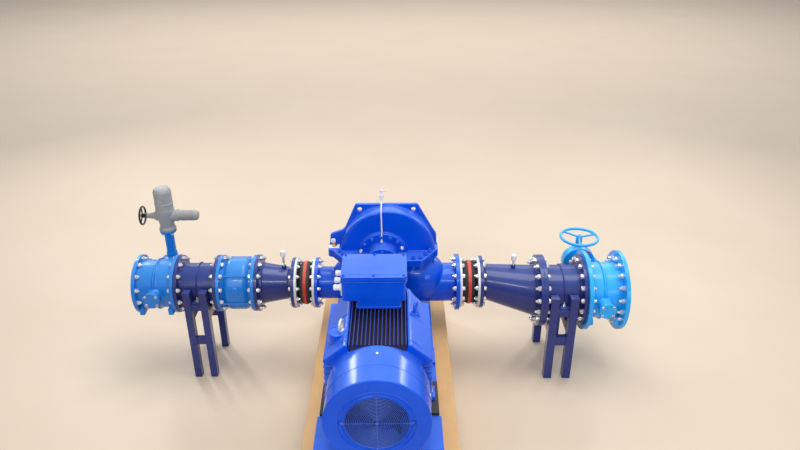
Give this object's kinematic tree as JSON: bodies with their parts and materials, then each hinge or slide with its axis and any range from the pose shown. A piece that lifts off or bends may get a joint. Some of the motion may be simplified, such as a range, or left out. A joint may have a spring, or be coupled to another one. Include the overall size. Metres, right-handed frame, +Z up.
{
  "type": "split-case pump set",
  "caption": "Horizontal split-case pump on a concrete plinth, driven by a fan-cooled motor, with flanged suction and discharge pipe trains ending at butterfly valves.",
  "frame": {"origin": "floor level, under the crossing of the shaft's vertical plane and the two nozzles' vertical plane", "axes": "+Z up, +X along the suction train away from the pump, -Y along the shaft towards the motor's fan end"},
  "size_m": [4.829, 3.21, 1.978],
  "materials": {
    "cobalt_paint": "gloss",
    "navy_paint": "gloss",
    "sky_paint": "gloss",
    "plinth_concrete": "matte",
    "black_rubber": "matte",
    "red_band": "satin",
    "zinc_steel": "satin",
    "shaft_steel": "satin",
    "grey_iron": "matte",
    "guard_wire": "satin",
    "fan_plastic": "matte",
    "pale_plastic": "satin",
    "actuator_grey": "satin",
    "black_handwheel": "satin"
  },
  "bodies": {
    "pump_set": {"plinth": "plinth_concrete", "base_frame": "cobalt_paint", "motor_pedestal": "cobalt_paint", "motor_pad_left": "black_rubber", "motor_pad_right": "black_rubber", "pump_upper_casing": "cobalt_paint", "pump_lower_casing": "cobalt_paint", "pump_vent": "zinc_steel", "bearing_housing_drive": "cobalt_paint", "bearing_housing_free": "cobalt_paint", "coupling_guard": "cobalt_paint", "motor_frame": "cobalt_paint", "motor_end_shield": "cobalt_paint", "fan_cowl": "cobalt_paint", "fan_guard": "guard_wire", "terminal_box": "cobalt_paint", "terminal_box_lid": "cobalt_paint", "cable_glands": "pale_plastic", "lifting_eye_left": "cobalt_paint", "lifting_eye_right": "cobalt_paint", "suction_bellows_ring_pump": "zinc_steel", "suction_bellows_ring_pipe": "zinc_steel", "suction_bellows": "black_rubber", "suction_bellows_band": "red_band", "discharge_bellows_ring_pump": "zinc_steel", "discharge_bellows_ring_pipe": "zinc_steel", "discharge_bellows": "black_rubber", "discharge_bellows_band": "red_band", "suction_reducer": "navy_paint", "suction_transmitter": "pale_plastic", "suction_spool": "navy_paint", "suction_stand": "navy_paint", "suction_valve_body": "sky_paint", "suction_gearbox": "sky_paint", "discharge_reducer": "navy_paint", "discharge_transmitter": "pale_plastic", "check_valve": "sky_paint", "discharge_spool": "navy_paint", "discharge_stand": "navy_paint", "discharge_valve_body": "sky_paint", "discharge_gearbox": "sky_paint", "actuator_housing": "actuator_grey", "actuator_controls": "actuator_grey"},
    "rotor": {"pump_shaft": "shaft_steel", "coupling_pump_half": "grey_iron", "coupling_motor_half": "grey_iron", "motor_rotor": "fan_plastic"},
    "suction_wheel": {"suction_handwheel": "sky_paint"},
    "suction_disc": {"suction_valve_disc": "shaft_steel"},
    "discharge_disc": {"discharge_valve_disc": "shaft_steel"},
    "actuator_wheel": {"actuator_handwheel": "black_handwheel"}
  },
  "joints": [
    {"name": "rotor_spin", "type": "hinge", "parent": "pump_set", "child": "rotor", "pos_m": [0, 0, 1.33], "axis": [0, 1, 0], "continuous": true},
    {"name": "suction_wheel_turn", "type": "hinge", "parent": "pump_set", "child": "suction_wheel", "pos_m": [2.05, 0.47, 1.2], "axis": [0, 0, 1], "range_deg": [0, 4680]},
    {"name": "suction_disc_swing", "type": "hinge", "parent": "pump_set", "child": "suction_disc", "pos_m": [2.165, 0, 0.848], "axis": [0, 1, 0], "range_deg": [0, 90]},
    {"name": "discharge_disc_swing", "type": "hinge", "parent": "pump_set", "child": "discharge_disc", "pos_m": [-2.23, 0, 0.95], "axis": [0, 1, 0], "range_deg": [0, 90]},
    {"name": "actuator_wheel_turn", "type": "hinge", "parent": "pump_set", "child": "actuator_wheel", "pos_m": [-2.44, 0.372, 1.525], "axis": [1, 0, 0], "continuous": true}
  ],
  "couplings": [
    {"joint": "suction_disc_swing", "follows": "suction_wheel_turn", "ratio": 0.019231}
  ]
}
